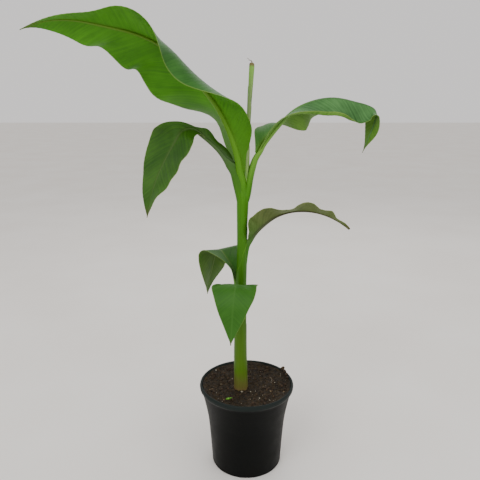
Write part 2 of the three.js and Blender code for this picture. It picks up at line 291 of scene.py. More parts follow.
soil = {
    "radius": 79.4, "level": 149.2, "bottom": 140, "swell": 1.0, "grain": 1.3,
    "climb": 4.4, "climbFrom": 66, "stemX": -10.2, "stemY": -10, "sides": 180, "rings": 74,
    "crumbs": 1500, "barkBits": 190, "clods": 130, "paleChips": 70,
    "dark": "#0e0b05", "mid": "#281e0d", "light": "#43341b",
    "clod": "#24160a", "clodLight": "#40301c", "bark": "#281b0f", "barkLight": "#4b3a24",
    "chip": "#b3ab9a", "chipShade": "#7d735f", "leafBit": "#6cb01e", "leafBitShade": "#4a8a14",
    "wood": "#7d6848", "woodShade": "#54422c",
    # placed one by one: x, y, length, width, thickness, turn
    "heap": [(69, 46, 8, 6, 12, 0.8), (72, 38, 7, 6, 9, 0.9),
             (75, 28, 7, 6, 7, 1.2), (76, 18, 6, 5, 5, 1.5)],
    "scraps": [(-30, -48, 12, 4, 4, 0.4), (-24, -51, 5, 3, 3, 1.6)],
    "woodSpots": [(-64, -16, 9, 3, 2, 0.3), (-40, -50, 4, 3, 1.6, 1.2), (42, -24, 4.5, 2.6, 1.6, 2.4),
                  (66, -23, 4.6, 3, 1.8, 0.9), (70, 48, 7, 5, 3, 0.8)],
    # and the larger pale chips: x, y, size
    "largeChips": [(-58, 50, 2.6), (-9, -25, 4.6), (26, 34, 2.4), (47, 18, 2.4),
                   (52, 9, 2.6), (7, -22, 2.6), (22, -44, 2.6), (39, -53, 2.8)],
}


def soilHeight(x, y):
    swell = math.sin(x * 0.07 + 1) * math.cos(y * 0.09) * soil["swell"]
    clods = noise.fractal(Vector((x * 0.12, y * 0.12, 3.1)), 1.0, 2.0, 3)   # about 8 mm across
    fine = noise.fractal(Vector((x * 0.5, y * 0.5, 7.7)), 1.0, 2.0, 3)   # about 2 mm across
    fromStem = math.hypot(x - soil["stemX"], y - soil["stemY"])
    heap = 1.2 * math.exp(-((fromStem - 12) / 7) ** 2)   # soil pressed up against the stem
    # the soil climbs a little toward the wall
    edge = (math.hypot(x, y) - soil["climbFrom"]) / (soil["radius"] - soil["climbFrom"])
    edge = min(max(0.0, edge), 1.0)
    return soil["level"] + swell + 0.9 * clods + soil["grain"] * fine + heap + soil["climb"] * edge ** 2


def compost():
    # peat and bark compost, sieved and moist: dark crumbs, brown fibres, and hardly any shine
    material, add, shader = newMaterial("moistCompost", {"IOR": 1.4})
    place = add("TexCoord").outputs["Object"]
    # clods about 7 mm across, and grains of about 1 mm drawn 2 mm across so that they show
    clods = add("TexNoise", {"Vector": place, "Scale": grainScale(7.143), "Detail": 8, "Roughness": 0.75})
    grains = add("TexVoronoi", {"Vector": place, "Scale": grainScale(1.923)}, feature="F1")
    tones = [(0.36, soil["dark"]), (0.52, soil["mid"]), (0.68, soil["light"])]
    colour = add("ValToRGB", {"Fac": clods}, stops=tones)
    speck = add("ValToRGB", {"Fac": grains.outputs["Color"]}, stops=[(0.93, 0.0), (0.98, 0.35)])
    mixed = add("Mix", {0: speck, 6: colour, 7: toLinear(soil["barkLight"])}, data_type="RGBA")
    damp = add("MapRange", {0: clods, 1: 0.3, 2: 0.7, 3: 0.72, 4: 0.98})
    relief = add("Math", {0: clods, 1: 1.4, 2: grains.outputs["Distance"]}, operation="MULTIPLY_ADD")
    bump = add("Bump", {"Height": relief, "Distance": 1.2 * mm, "Strength": 0.8})
    setInputs(shader, {"Base Color": mixed, "Roughness": damp, "Normal": bump})
    return material


def plainBit(name, dark, light, roughness):
    # small loose bits: one tone mottled with another about every 4 mm, dull
    material, add, shader = newMaterial(name, {"Roughness": roughness})
    place = add("TexCoord").outputs["Object"]
    mottle = add("TexNoise", {"Vector": place, "Scale": grainScale(3.846), "Detail": 4})
    tone = add("ValToRGB", {"Fac": mottle}, stops=[(0.38, dark), (0.62, light)])
    bump = add("Bump", {"Height": mottle, "Distance": 0.6 * mm, "Strength": 0.6})
    setInputs(shader, {"Base Color": tone, "Normal": bump})
    return material


def makeSoil():
    sides, ringCount = soil["sides"], soil["rings"]
    radii = soil["radius"] * np.linspace(0, 1, ringCount + 1)[1:]
    angles = np.linspace(0, 2 * np.pi, sides, endpoint=False)
    points = [(0, 0, soilHeight(0, 0))]
    for radius in radii:
        for angle in angles:
            x, y = radius * math.cos(angle), radius * math.sin(angle)
            points.append((x, y, soilHeight(x, y)))
    # a skirt runs down the wall
    points += [(radii[-1] * math.cos(a), radii[-1] * math.sin(a), soil["bottom"]) for a in angles]
    faces = [[0, 1 + i, 1 + (i + 1) % sides] for i in range(sides)]
    faces += [list(f) for f in gridFaces(ringCount + 1, sides, start=1, closed=True, flip=True)]
    faces.append([1 + ringCount * sides + i for i in range(sides)][::-1])
    return makeMesh("soilSurface", points, faces, [compost()], sharp=60)


def scatterBits(name, spots, material, level):
    # spots: x, y, length, width, thickness, turn; each bit is a rough pebble on the soil
    base = bmesh.new()
    bmesh.ops.create_icosphere(base, subdivisions=level, radius=0.5)
    shape = np.array([v.co[:] for v in base.verts])
    triangles = np.array([[v.index for v in f.verts] for f in base.faces])
    base.free()
    points, faces = [], []
    for number, (x, y, length, width, thickness, turn) in enumerate(spots):
        rough = shape * (1 + 0.28 * rng.standard_normal((len(shape), 1)).clip(-1.2, 1.2))
        rough = rough * (length, width, thickness)
        tipped = Matrix.Rotation(rng.normal(0, 0.25), 3, "X")
        rolledOver = Matrix.Rotation(rng.normal(0, 0.2), 3, "Y")
        rough = rough @ np.array(Matrix.Rotation(turn, 3, "Z") @ tipped @ rolledOver).T
        lift = soilHeight(x, y) + thickness * 0.22
        points.append(rough + (x, y, lift))
        faces.append(triangles + number * len(shape))
    return makeMesh(name, np.vstack(points), np.vstack(faces), [material], sharp=50)


def randomSpots(count, reach, sizes, flat, narrow):
    # places on the soil, clear of the stem
    spots = []
    while len(spots) < count:
        x, y = rng.uniform(-reach, reach, 2)
        if math.hypot(x, y) > reach or math.hypot(x - soil["stemX"], y - soil["stemY"]) < 12.5:
            continue
        length = rng.uniform(*sizes)
        width = length * rng.uniform(*narrow)
        thickness = length * rng.uniform(*flat)
        spots.append((x, y, length, width, thickness, rng.uniform(0, math.pi)))
    return spots


soilSurface = makeSoil()
crumbSpots = randomSpots(soil["crumbs"], 77, (0.9, 3.4), (0.5, 0.8), (0.6, 1.0))
crumbs = scatterBits("soilCrumbs", crumbSpots, compost(), 1)

barkSpots = randomSpots(soil["barkBits"], 75, (2.0, 6.5), (0.14, 0.3), (0.2, 0.5))
shreddedBark = plainBit("shreddedBark", soil["bark"], soil["barkLight"], 0.85)
barkBits = scatterBits("barkBits", barkSpots, shreddedBark, 1)

clodSpots = randomSpots(soil["clods"], 74, (2.4, 6.5), (0.6, 0.9), (0.5, 0.8))
clodSpots += soil["heap"]   # against the rim
crumbledPeat = plainBit("crumbledPeat", soil["clod"], soil["clodLight"], 0.95)
clods = scatterBits("peatClods", clodSpots, crumbledPeat, 2)

chipSpots = [(x, y, size, size * 0.8, size * 0.6, 0.4 * i)
             for i, (x, y, size) in enumerate(soil["largeChips"])]
chipSpots += randomSpots(soil["paleChips"], 74, (0.7, 1.7), (0.5, 0.8), (0.6, 1.0))
expandedPerlite = plainBit("expandedPerlite", soil["chipShade"], soil["chip"], 0.9)
paleChips = scatterBits("paleChips", chipSpots, expandedPerlite, 2)

leafScrap = plainBit("greenLeafScrap", soil["leafBitShade"], soil["leafBit"], 0.6)
leafBits = scatterBits("leafBits", soil["scraps"], leafScrap, 2)

paleWood = plainBit("paleWood", soil["woodShade"], soil["wood"], 0.8)
woodChips = scatterBits("woodChips", soil["woodSpots"], paleWood, 2)

soilPieces = (soilSurface, crumbs, barkBits, clods, paleChips, leafBits, woodChips)
for piece in soilPieces:
    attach(piece, "root")
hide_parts("soil")
print("soil:", sum(len(piece.data.polygons) for piece in soilPieces), "faces")


stemLow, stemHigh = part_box("pseudostem")
stemFoot, stemTop = stemLow[2] / mm, stemHigh[2] / mm

stem = {
    "x": [-10.2, -11.3, -10.5, -9.6, -8.5, -7], "y": -10, "diameter": [22.5, 20, 17.4, 16.4, 17.2, 21],
    "flare": 0.6, "sides": 120, "rows": 460, "buried": 5, "pastTop": 12, "rootDepth": 30, "specular": 0.22,
    "foot": "#6a5334", "low": "#46680f", "middle": "#316006", "high": "#427c08",
    "edge": "#5f8f22", "blotch": "#5d4a20",
}

# each sheath: the side its leaf leaves on, the height of its edge there and opposite, how thick it is
sheaths = [
    {"side": 260, "near": 300, "far": 262, "thick": 0.7},
    {"side": 140, "near": 330, "far": 288, "thick": 0.6},
    {"side": -8, "near": 424, "far": 372, "thick": 0.9},
    {"side": 190, "near": 545, "far": 446, "thick": 0.7},
]


def stemCentre(height):
    t = (np.asarray(height, float) - stemFoot) / (stemTop - stemFoot)
    x = smoothAlong(stem["x"], np.clip(t, 0, 1))
    return np.stack([x, np.full_like(x, stem["y"]), np.asarray(height, float) + 0 * x], -1)


def sheathGreen():
    # living leaf sheath, grown in long fibres: waxy green, brown and dry where it meets the soil
    material, add, shader = newMaterial(
        "waxySheath", {"IOR": 1.45, "Specular IOR Level": stem["specular"]})
    place = add("TexCoord").outputs["Object"]
    height = add("SeparateXYZ", {0: place}).outputs[2]
    # from the dry foot to the fork the colours follow the height, shifted by up to 50 mm here and there
    wander = add("TexNoise", {"Vector": place, "Scale": grainScale(33.33), "Detail": 4})
    shifted = add("Math", {0: wander, 1: 50 * mm, 2: height}, operation="MULTIPLY_ADD")
    share = add("MapRange", {0: shifted, 1: 172 * mm, 2: 530 * mm})
    greens = [(0.0, stem["foot"]), (0.13, stem["low"]), (0.55, stem["middle"]), (1.0, stem["high"])]
    base = add("ValToRGB", {"Fac": share}, stops=greens)
    # fibres about 0.5 mm apart, drawn 1.6 mm apart so that they show
    around = add("UVMap", uv_map="surfacePlace")
    stretched = add("Mapping", {"Vector": around, "Scale": (grainScale(1.613), grainScale(111.1), 1)})
    fibres = add("TexNoise", {"Vector": stretched, "Scale": 1, "Detail": 3, "Roughness": 0.6})
    tone = add("MapRange", {0: fibres, 1: 0.3, 2: 0.7, 3: 0.86, 4: 1.12})
    shaded = add("Mix", {0: 1.0, 6: base, 7: tone}, data_type="RGBA", blend_type="MULTIPLY")
    edgeLine = add("Attribute", attribute_name="edgeLine").outputs["Fac"]
    edged = add("Mix", {0: edgeLine, 6: shaded, 7: toLinear(stem["edge"])}, data_type="RGBA")
    # a few small brown blotches, about 5 mm across
    blotch = add("TexNoise", {"Vector": place, "Scale": grainScale(4.762), "Detail": 5, "Roughness": 0.7})
    spots = add("ValToRGB", {"Fac": blotch}, stops=[(0.7, 0.0), (0.76, 0.7)])
    spotted = add("Mix", {0: spots, 6: edged, 7: toLinear(stem["blotch"])}, data_type="RGBA")
    # dull at the dry foot, waxier from about 40 mm up
    dull = add("MapRange", {0: height, 1: 150 * mm, 2: 190 * mm, 3: 0.7, 4: 0.42})
    bump = add("Bump", {"Height": fibres, "Distance": 0.4 * mm, "Strength": 0.4})
    setInputs(shader, {"Base Color": spotted, "Roughness": dull, "Normal": bump})
    return material


def makeStem():
    heights = np.linspace(stemFoot - stem["buried"], stemTop + stem["pastTop"], stem["rows"])
    angles = np.linspace(0, 2 * np.pi, stem["sides"], endpoint=False)
    z, a = np.meshgrid(heights, angles, indexing="ij")
    radius = smoothAlong(stem["diameter"], (z - stemFoot) / (stemTop - stemFoot)) / 2
    radius = radius - sum(sheath["thick"] for sheath in sheaths) * 0.2
    edgeLine = np.zeros_like(z)
    for number, sheath in enumerate(sheaths):
        facing = (1 + np.cos(a - math.radians(sheath["side"]))) / 2
        edge = sheath["far"] + (sheath["near"] - sheath["far"]) * facing ** 1.4
        edge = edge + 1.5 * np.sin(5 * a + number)
        below = edge - z
        thinning = 1 - 0.45 * smoothStep(below / 160)   # a sheath grips tighter further down
        radius = radius + sheath["thick"] * smoothStep(below / 1.4 + 0.5) * thinning
        edgeLine = np.maximum(edgeLine, np.exp(-((below - 0.6) / 1.0) ** 2))
    # the top closes among the stalks
    closing = ((z - stemTop + 24) / (24.4 + stem["pastTop"])).clip(0, 1)
    narrowing = np.sqrt(np.clip(1 - closing ** 2, 0.01, 1))
    ridges = 0.07 * np.sin(a * 23 + 0.02 * z) + 0.05 * np.sin(a * 37 - 0.013 * z + 1)
    flare = stem["flare"] * np.exp(-(z - stemFoot) / 9)   # the foot widens where it enters the soil
    radius = (radius + ridges + flare) * narrowing
    centre = stemCentre(z)
    points = np.stack([centre[..., 0] + radius * np.cos(a), centre[..., 1] + radius * np.sin(a), z], -1)
    uv = np.stack([a * 9 * mm, z * mm], -1).reshape(-1, 2)
    return makeMesh("stemSheaths", points.reshape(-1, 3), cappedFaces(len(heights), len(angles)),
                    [sheathGreen()], uv=uv, attributes={"edgeLine": edgeLine.ravel() * 0.5}, sharp=50)


stemSheaths = makeStem()
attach(stemSheaths, "root")
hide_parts("pseudostem")
print("stem:", len(stemSheaths.data.polygons), "faces")


# foot: the height where the stalk leaves the stem, offset out from its centre; stalk, blade: lengths, in mm
# thick: how thick the stalk is from the stem to the blade; width: a half blade's, at even steps, in mm
# heading: which way it points from above, in degrees from +X toward +Y; pitch: its slope, in degrees;
# both are at even steps from foot to tip
# fold, curl: slope of a half blade beside its midrib, and how much more it turns by its margin
# hem: how far the last bit of a margin turns over, at even steps
# ruffles: place along the margin, length and extra turn of each slow wave that follows the veins
# gutter: how high the stalk's rims stand, at even steps from the stem to the blade, in mm
# upper, under: the two colours that the streaks on each side run between
# rib: the midrib's colour near the stalk and toward the tip; nearStem: the blade's colour by the stalk
leaves = [
    {
        "name": "topLeft", "cad": "top_left", "foot": 495, "offset": 0, "stalk": 40, "blade": 435,
        "thick": [17, 15, 13, 11], "heading": [215],
        "pitch": [91, 79, 72, 61, 48, 42, 40, 18, 7, 7, -8, -30],
        "gutter": [0, 0, 1, 2], "rows": 280, "columns": 40,
        "left": {"width": [8, 23, 43, 53, 61, 61, 56, 46, 32, 16, 0],
                 "fold": [75, 75, 45, 29, 10, 0, 4, 17, 50, 60, 32, 18, 12],
                 "curl": [0, 0, -31, -34, -53, -95, -97, -63, -45, -12, 0]},
        "right": {"width": [5, 42, 52, 63, 68, 66, 59, 48, 34, 18, 0],
                  "fold": [8, 11, 12, -18, -34, -39, -44, -42, -46, -41, -36],
                  "ruffles": [(0.5, 0.038, -34), (0.59, 0.041, 30), (0.68, 0.039, -28), (0.75, 0.037, 38)]},
        # under: brighter and yellower than the underside's own green, partly the leaf's colour, partly
        # painted light shining through the blade
        "upper": ["#27581a", "#396e28"], "under": ["#38740d", "#4c9015"],
        "rib": ["#548a15", "#557b1e"], "nearStem": "#44740e", "stalkColour": "#4f8a10",
    },
    {
        "name": "upperRight", "cad": "upper_right", "foot": 497, "offset": 4, "stalk": 75, "blade": 316,
        "thick": [15, 14, 12, 9], "heading": [12],
        "pitch": [75, 81, 75, 69, 61, 53, 48, 47, 35, 23, 13, 5, -7, -14, -12, -24, -104, -112, -112, -111],
        "gutter": [0, 0, 1, 1.5], "rows": 240, "columns": 32,
        "left": {"width": [5, 26, 36, 49, 57, 58, 45, 37, 27, 13, 0],
                 "fold": [90, 90, 30, 0, -50, -62, -50, -34, -28, -22, -26, -28, -24, -20, -18, -5, 10]},
        "right": {"width": [2, 18, 29, 38, 44, 45, 42, 34, 18, 13, 0],
                  "fold": [16, 19, 23, 20, 0, -21, -35, -45, -49, -55, -68, -76, -50, -5, 20, 14, -10],
                  "hem": [0, 0, 0, 70, 125, 130, 110, 40, 0, 0, 0]},
        "upper": ["#2b5824", "#528447"], "under": ["#4a7522", "#628d35"],
        "rib": ["#6f9c3c", "#4a7440"], "nearStem": "#3f7424", "stalkColour": "#62932c",
    },
    {
        "name": "middleLeft", "cad": "middle_left", "foot": 458, "offset": -2, "stalk": 90, "blade": 255,
        "thick": [12, 13, 13, 10], "heading": [190, 190, 195, 200, 212, 222, 224],
        "pitch": [82, 82, 80, 75, 74, 65, 55, 44, 36, 36, -12, -59, -54, -58, -59, -64, -69, -74, -80],
        "gutter": [0, 0, 2, 6, 10], "rows": 240, "columns": 32,
        "left": {"width": [1, 1, 1, 1, 3, 19, 33, 42, 45, 43, 41, 33, 23, 12, 0],
                 "fold": [0, 0, 0, 0, -8, -21, -34, -22, -14, -10, -4, -5, -1, -3, 12, 14, 15]},
        "right": {"width": [6, 10, 12, 12, 12, 5, 18, 48, 49, 46, 40, 31, 22, 11, 0],
                  "fold": [85, 74, 57, 40, 69, 95, 95, 72, 32, 22, 16, 11, 5, 5, 6, 6, 7]},
        "upper": ["#254c0b", "#3d671a"], "under": ["#586d3f", "#758455"],
        "rib": ["#496539", "#3c5a1e"], "nearStem": "#2c5310", "stalkColour": "#3a6a14",
    },
    {
        "name": "middleRight", "cad": "middle_right", "foot": 358, "offset": 3, "stalk": 65, "blade": 192,
        "thick": [8, 7.5, 6.5, 5], "heading": [-8],
        "pitch": [83, 84, 80, 64, 45, 38, 21, 6, -6, -19, -30, -41],
        "gutter": [0, 2, 5, 6], "rows": 200, "columns": 26,
        "left": {"width": [2, 18, 26, 31, 32, 31, 28, 22, 15, 7, 0],
                 "fold": [40, 10, -10, -10, -10, -5]},
        "right": {"width": [2, 20, 28, 32, 33, 32, 28, 23, 17, 10, 3],
                  "fold": [60, 40, 33, 70, 60, 55, 49, 38, 24, 19, 19,
                           32, 42, 42, 30, 34, 47, 26, 31, 50, 73]},
        "upper": ["#46632c", "#5e7d40"], "under": ["#4b5c2a", "#65723f"],
        "rib": ["#495634", "#42402a"], "nearStem": "#37671a", "stalkColour": "#3a7016",
    },
    {
        "name": "lowLeft", "cad": "low_left", "foot": 321, "offset": 2, "stalk": 35, "blade": 166,
        "thick": [6.5, 6, 5, 4], "heading": [140, 140, 132, 122],
        "pitch": [30, 82, 84, 60, 48, 38, -65, -72, -70, -71, -77, -81],
        "gutter": [0, 1, 2, 2], "rows": 180, "columns": 28,
        "left": {"width": [2, 16, 27, 35, 39, 40, 37, 31, 22, 10, 0],
                 "fold": [22, 36, 29, 18, 7, -6, -17, -28, -36, -39, -29]},
        "right": {"width": [1, 18, 30, 38, 45, 43, 28, 29, 25, 12, 0],
                  "fold": [32, 21, 10, 0, -2, -9, -10, 2, 14, 24, 29]},
        "upper": ["#24500c", "#316215"], "under": ["#345a17", "#496d20"],
        "rib": ["#527034", "#5b773d"], "nearStem": "#326522", "stalkColour": "#4d7f26",
    },
    {
        "name": "lowFront", "cad": "low_front", "foot": 293, "offset": 0, "stalk": 45, "blade": 150,
        "thick": [6.5, 6, 5, 4], "heading": [262, 262, 258, 256],
        "pitch": [75, 68, 58, 23, -48, -75, -76, -74],
        "gutter": [0, 1, 2, 2], "rows": 180, "columns": 28,
        "left": {"width": [1, 22, 33, 34, 34, 32, 26, 20, 13, 6, 0],
                 "fold": [16, 7, -4, -7, -4, -3, -3, -2, -2], "ruffles": [(0.35, 0.045, 30)]},
        "right": {"width": [1, 22, 37, 42, 39, 33, 27, 21, 14, 7, 0],
                  "fold": [16, 8, 2, -4, -1, 3, -1, -6, -20], "ruffles": [(0.36, 0.08, -22)]},
        "upper": ["#2c5c14", "#396b1f"], "under": ["#345f1a", "#477323"],
        "rib": ["#406f21", "#3b6a22"], "nearStem": "#2d5e11", "stalkColour": "#3d6b1a",
    },
]

blade = {
    "thick": 0.5, "veinSlant": 0.9, "pleat": 0.1, "pleatSpacing": 9, "tipRib": 0.35,
    "margin": "#9db25a", "dryTip": "#4f4128",
    "upper": {"skin": "UpperSkin", "roughness": 0.52, "specular": 0.2, "veinShade": 0.9},
    "under": {"skin": "UnderSkin", "roughness": 0.58, "specular": 0.22, "veinShade": 0.92},
}


def traceMidrib(foot, offset, headings, pitches, length, steps=300):
    t = np.linspace(0, 1, steps + 1)
    course = np.radians(straightAlong(headings, t))
    slope = np.radians(straightAlong(pitches, t))
    level = np.stack([np.cos(course), np.sin(course), 0 * t], -1)
    up = np.array([0, 0, 1])
    forward = np.cos(slope)[:, None] * level + np.sin(slope)[:, None] * up
    upper = -np.sin(slope)[:, None] * level + np.cos(slope)[:, None] * up
    left = np.stack([-np.sin(course), np.cos(course), 0 * t], -1)
    start = stemCentre(foot) + level[0] * offset
    middle = (forward[1:] + forward[:-1]) / 2
    points = np.vstack([start, start + np.cumsum(middle, 0) * length / steps])
    return {"t": t, "point": points, "left": left, "upper": upper}


def onMidrib(midrib, key, t):
    return np.stack([np.interp(t, midrib["t"], midrib[key][:, k]) for k in range(3)], -1)


def ribRadius(leaf, s):
    base = leaf["thick"][-1] / 2
    return base + (blade["tipRib"] - base) * s ** 0.8


def halfBlade(leaf, midrib, side):
    # a grid of points from the midrib out to one margin, with each point's distance and vein place
    half = leaf["left"] if side > 0 else leaf["right"]
    s = np.linspace(0, 1, leaf["rows"])
    share = np.linspace(0, 1, leaf["columns"] + 1) ** 1.1
    reach = np.maximum(0.8, smoothAlong(half["width"], s))
    distance = reach[:, None] * share[None, :]
    veins = s[:, None] * leaf["blade"] - blade["veinSlant"] * distance
    atMargin = (veins + blade["veinSlant"] * reach[:, None]) / leaf["blade"]
    turn = smoothAlong(half.get("curl", [0]), s)[:, None] + 0 * distance
    for place, length, angle in half.get("ruffles", []):   # a ruffle grows toward the margin
        turn = turn + angle * np.exp(-((atMargin - place) / length) ** 2)
    hem = smoothAlong(half.get("hem", [0]), s)[:, None] * smoothStep((share[None, :] - 0.8) / 0.11)
    slope = np.radians(smoothAlong(half["fold"], s)[:, None] + turn * share[None, :] + hem)
    total = leaf["stalk"] + leaf["blade"]
    t = (leaf["stalk"] + leaf["blade"] * s) / total
    left = onMidrib(midrib, "left", t)[:, None, :]
    upper = onMidrib(midrib, "upper", t)[:, None, :]
    stepLength = np.diff(distance, axis=1)[..., None]
    middle = (slope[:, 1:] + slope[:, :-1])[..., None] / 2
    steps = (side * np.cos(middle) * left + np.sin(middle) * upper) * stepLength
    start = onMidrib(midrib, "point", t)[:, None, :]
    points = np.concatenate([start, start + np.cumsum(steps, 1)], 1)
    return points, distance * side, veins, np.broadcast_to(share, distance.shape)


def bothHalves(leaf, midrib):
    leftSide = halfBlade(leaf, midrib, 1)
    rightSide = halfBlade(leaf, midrib, -1)
    return [np.concatenate([a[:, :0:-1], b], 1) for a, b in zip(leftSide, rightSide)]


def gridNormals(points):
    across = np.gradient(points, axis=1)
    along = np.gradient(points, axis=0)
    normal = np.cross(across, along)
    return normal / np.maximum(np.linalg.norm(normal, axis=2, keepdims=True), 1e-9)


def laminaSide(leaf, side):
    # leaf skin over parallel veins: satin cuticle, streaks that follow the veins, paler beside the midrib
    finish = blade[side]
    material, add, shader = newMaterial(
        leaf["name"] + finish["skin"], {"IOR": 1.45, "Specular IOR Level": finish["specular"]})
    place = add("UVMap", uv_map="surfacePlace")
    around = add("TexCoord").outputs["Object"]
    # streaks between the side veins, about 4 mm wide and 90 mm long
    streakPlace = add("Mapping", {"Vector": place, "Scale": (grainScale(90.91), grainScale(4.167), 1)})
    streaks = add("TexNoise", {"Vector": streakPlace, "Scale": 1, "Detail": 4, "Roughness": 0.6})
    clouds = add("TexNoise", {"Vector": around, "Scale": grainScale(38.46), "Detail": 3})
    cloudTone = add("Math", {0: clouds, 1: 0.5}, operation="MULTIPLY")
    blend = add("Math", {0: streaks, 1: 0.5, 2: cloudTone}, operation="MULTIPLY_ADD")
    skin = add("ValToRGB", {"Fac": blend}, stops=[(0.38, leaf[side][0]), (0.62, leaf[side][1])])
    # the blade is darker by the stalk
    along = add("Attribute", attribute_name="alongBlade").outputs["Fac"]
    stemShare = add("ValToRGB", {"Fac": along}, stops=[(0.02, 0.85), (0.26, 0.0)])
    tinted = add("Mix", {0: stemShare, 6: skin, 7: toLinear(leaf["nearStem"])}, data_type="RGBA")
    # side veins are about 1 mm apart, drawn about 3 mm apart so that they show
    veinWave = add("TexWave",
                   {"Vector": place, "Scale": bandScale(2.992), "Distortion": 0.6, "Detail": 1},
                   bands_direction="Y")
    lines = add("ValToRGB", {"Fac": veinWave.outputs[1]}, stops=[(0.0, finish["veinShade"]), (0.5, 1.0)])
    veined = add("Mix", {0: 1.0, 6: tinted, 7: lines}, data_type="RGBA", blend_type="MULTIPLY")
    ribShare = add("Attribute", attribute_name="nearRib").outputs["Fac"]
    ribTone = add("ValToRGB", {"Fac": along}, stops=[(0.08, leaf["rib"][0]), (0.42, leaf["rib"][1])])
    ribbed = add("Mix", {0: ribShare, 6: veined, 7: ribTone}, data_type="RGBA")
    edge = add("Attribute", attribute_name="nearMargin").outputs["Fac"]
    edged = add("Mix", {0: edge, 6: ribbed, 7: toLinear(blade["margin"])}, data_type="RGBA")
    # the tip dries first
    tipShare = add("ValToRGB", {"Fac": along}, stops=[(0.93, 0.0), (0.99, 0.6)])
    dried = add("Mix", {0: tipShare, 6: edged, 7: toLinear(blade["dryTip"])}, data_type="RGBA")
    glossy, dull = finish["roughness"] - 0.05, finish["roughness"] + 0.08
    gloss = add("MapRange", {0: streaks, 1: 0.3, 2: 0.7, 3: glossy, 4: dull})
    relief = add("Math", {0: veinWave.outputs[1], 1: 0.5, 2: streaks}, operation="MULTIPLY_ADD")
    bump = add("Bump", {"Height": relief, "Distance": 0.2 * mm, "Strength": 0.3})
    setInputs(shader, {"Base Color": dried, "Roughness": gloss, "Normal": bump})
    return material


def stalkSkin(leaf):
    # stalk and midrib, grown in long fibres: satin, paler than the blade
    material, add, shader = newMaterial(
        leaf["name"] + "StalkSkin", {"IOR": 1.45, "Roughness": 0.48, "Specular IOR Level": 0.25})
    place = add("UVMap", uv_map="surfacePlace")
    along = add("Attribute", attribute_name="alongLimb").outputs["Fac"]
    greens = [(0.05, stem["high"]), (0.17, leaf["stalkColour"]),
              (0.28, leaf["rib"][0]), (0.55, leaf["rib"][1])]
    base = add("ValToRGB", {"Fac": along}, stops=greens)
    # fibres about 0.5 mm apart, drawn 1.4 mm apart so that they show
    fibrePlace = add("Mapping", {"Vector": place, "Scale": (grainScale(1.4286), grainScale(125), 1)})
    fibres = add("TexNoise", {"Vector": fibrePlace, "Scale": 1, "Detail": 3})
    tone = add("MapRange", {0: fibres, 1: 0.3, 2: 0.7, 3: 0.84, 4: 1.12})
    shaded = add("Mix", {0: 1.0, 6: base, 7: tone}, data_type="RGBA", blend_type="MULTIPLY")
    bump = add("Bump", {"Height": fibres, "Distance": 0.4 * mm, "Strength": 0.4})
    setInputs(shader, {"Base Color": shaded, "Normal": bump})
    return material


def makeBlade(leaf, midrib):
    points, distance, veins, share = bothHalves(leaf, midrib)
    normal = gridNormals(points)
    # shallow pleats between the main side veins, flat at the midrib
    pleat = blade["pleat"] * np.sin(2 * np.pi * veins / blade["pleatSpacing"]) * smoothStep(share * 2)
    rows, columns = share.shape
    rib = ribRadius(leaf, np.linspace(0, 1, rows))[:, None]
    groove = 0.5 * rib * np.exp(-(distance / (0.6 * rib)) ** 2)
    points = points + normal * (pleat - groove)[..., None]
    halfThick = blade["thick"] / 2
    upper = points + normal * halfThick
    lower = points - normal * halfThick
    count = rows * columns
    topFaces = gridFaces(rows, columns)
    lowFaces = gridFaces(rows, columns, start=count, flip=True)
    # a narrow wall joins the two sides all round the margin
    grid = np.arange(count).reshape(rows, columns)
    loop = np.concatenate([grid[0, :], grid[1:, -1], grid[-1, -2::-1], grid[-2:0:-1, 0]])
    after = np.roll(loop, -1)
    rim = np.stack([after, loop, loop + count, after + count], -1)
    faces = np.vstack([topFaces, lowFaces, rim])
    kinds = np.concatenate([np.zeros(len(topFaces)), np.ones(len(lowFaces) + len(rim))])
    uv = np.stack([distance, veins], -1).reshape(-1, 2) * mm
    nearRib = 0.75 * np.exp(-(distance / (1.2 * rib + 0.5)) ** 2).ravel()
    along = np.repeat(np.linspace(0, 1, rows), columns)
    nearMargin = 0.35 * smoothStep((share - 0.975) / 0.02).ravel()
    shares = {"nearRib": nearRib, "nearMargin": nearMargin, "alongBlade": along}
    bothSides = {key: np.tile(values, 2) for key, values in shares.items()}
    materials = [laminaSide(leaf, "upper"), laminaSide(leaf, "under")]
    points = np.vstack([upper.reshape(-1, 3), lower.reshape(-1, 3)])
    return makeMesh(leaf["name"] + "Blade", points, faces, materials, faceMaterials=kinds,
                    uv=np.vstack([uv, uv]), attributes=bothSides, sharp=70)


